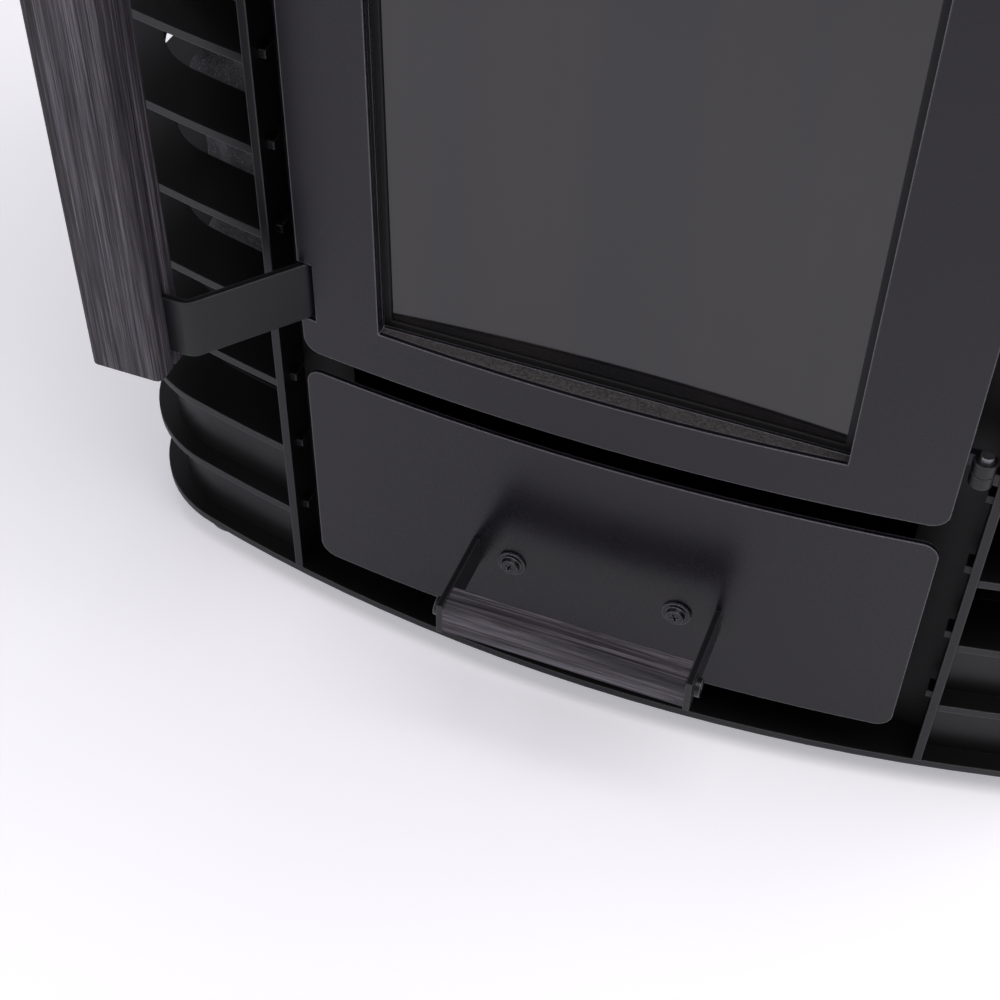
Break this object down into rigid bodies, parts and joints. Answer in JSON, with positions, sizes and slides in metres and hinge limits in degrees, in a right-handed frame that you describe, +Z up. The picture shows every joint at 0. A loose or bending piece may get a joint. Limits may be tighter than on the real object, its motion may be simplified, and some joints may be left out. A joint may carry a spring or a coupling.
{
  "type": "sauna_stove",
  "caption": "Black wood-burning sauna stove: a cage of stacked steel plates full of stones round a firebox, with a curved glass door and an ash drawer, both with dark wooden handles.",
  "frame": {"origin": "Centre of the bounding box's bottom face, on the floor midway across the stove and midway between the door grip's front and the cage's back.", "axes": "+X is the stove's right as seen from the front, +Y points to its back, +Z is up. The door and drawer face -Y."},
  "size_m": [0.552, 0.522, 0.8],
  "materials": {
    "black_paint": "satin black heat-proof paint",
    "cage_paint": "satin black heat-proof paint, worn a little at the edges",
    "stained_wood": "dark grey stained wood, open grain, matt",
    "dark_glass": "smooth heat-proof glass over a dark firebox",
    "sauna_stone": "rough dark grey stone",
    "black_screws": "black oxide",
    "zinc_steel": "zinc plated",
    "raw_steel": "matt black heat-proof paint on rolled sheet",
    "fire_brick": "pressed fire clay, matt",
    "grate_iron": "sand cast, matt",
    "seal_rope": "braided glass fibre rope"
  },
  "bodies": {
    "stove": {"ash_box": "raw_steel", "baffle": "fire_brick", "base_plate": "black_paint", "brick_left": "fire_brick", "brick_rear": "fire_brick", "brick_right": "fire_brick", "cage_plate_01": "cage_paint", "cage_plate_02": "cage_paint", "cage_plate_03": "cage_paint", "cage_plate_04": "cage_paint", "cage_plate_05": "cage_paint", "cage_plate_06": "cage_paint", "cage_plate_07": "cage_paint", "cage_plate_08": "cage_paint", "cage_plate_09": "cage_paint", "cage_plate_10": "cage_paint", "cage_plate_11": "cage_paint", "cage_ribs": "cage_paint", "cage_ring_12": "cage_paint", "cage_ring_13": "cage_paint", "cage_ring_14": "cage_paint", "cage_ring_15": "cage_paint", "cage_ring_16": "cage_paint", "cage_ring_17": "cage_paint", "face_plate": "black_paint", "firebox_floor": "raw_steel", "firebox_shell": "raw_steel", "flank_left": "black_paint", "flank_right": "black_paint", "flue_tube": "raw_steel", "foot_nuts": "zinc_steel", "grate": "grate_iron", "hinge_brackets": "black_paint", "hinge_pins": "zinc_steel", "lower_jacket": "black_paint", "sauna_stones": "sauna_stone", "stone_shelf": "black_paint"},
    "door": {"door_sheet": "black_paint", "door_reveal": "black_paint", "door_frame": "black_paint", "glass_seal": "seal_rope", "door_glass": "dark_glass", "glass_clips": "raw_steel", "clip_screws": "zinc_steel", "door_seal": "seal_rope", "hinge_lugs": "black_paint", "handle_arms": "black_paint", "door_grip": "stained_wood", "grip_screws": "zinc_steel"},
    "ash_drawer": {"drawer_front": "black_paint", "drawer_bracket": "black_paint", "drawer_bar": "stained_wood", "bar_bolt": "black_screws", "panel_screws": "black_screws", "panel_nuts": "zinc_steel", "drawer_tray": "raw_steel"},
    "foot_front_left": {"foot_front_left": "zinc_steel"},
    "foot_front_right": {"foot_front_right": "zinc_steel"},
    "foot_rear_left": {"foot_rear_left": "zinc_steel"},
    "foot_rear_right": {"foot_rear_right": "zinc_steel"}
  },
  "joints": [
    {"name": "door_hinge", "type": "hinge", "parent": "stove", "child": "door", "pos_m": [0.1545, -0.203, 0.3565], "axis": [0, 0, 1], "range_deg": [0, 105]},
    {"name": "ash_drawer_slide", "type": "slide", "parent": "stove", "child": "ash_drawer", "axis": [0, -1, 0], "range_m": [0, 0.25]},
    {"name": "foot_front_left_screw", "type": "slide", "parent": "stove", "child": "foot_front_left", "axis": [0, 0, -1], "range_m": [0, 0.012]},
    {"name": "foot_front_right_screw", "type": "slide", "parent": "stove", "child": "foot_front_right", "axis": [0, 0, -1], "range_m": [0, 0.012]},
    {"name": "foot_rear_left_screw", "type": "slide", "parent": "stove", "child": "foot_rear_left", "axis": [0, 0, -1], "range_m": [0, 0.012]},
    {"name": "foot_rear_right_screw", "type": "slide", "parent": "stove", "child": "foot_rear_right", "axis": [0, 0, -1], "range_m": [0, 0.012]}
  ]
}
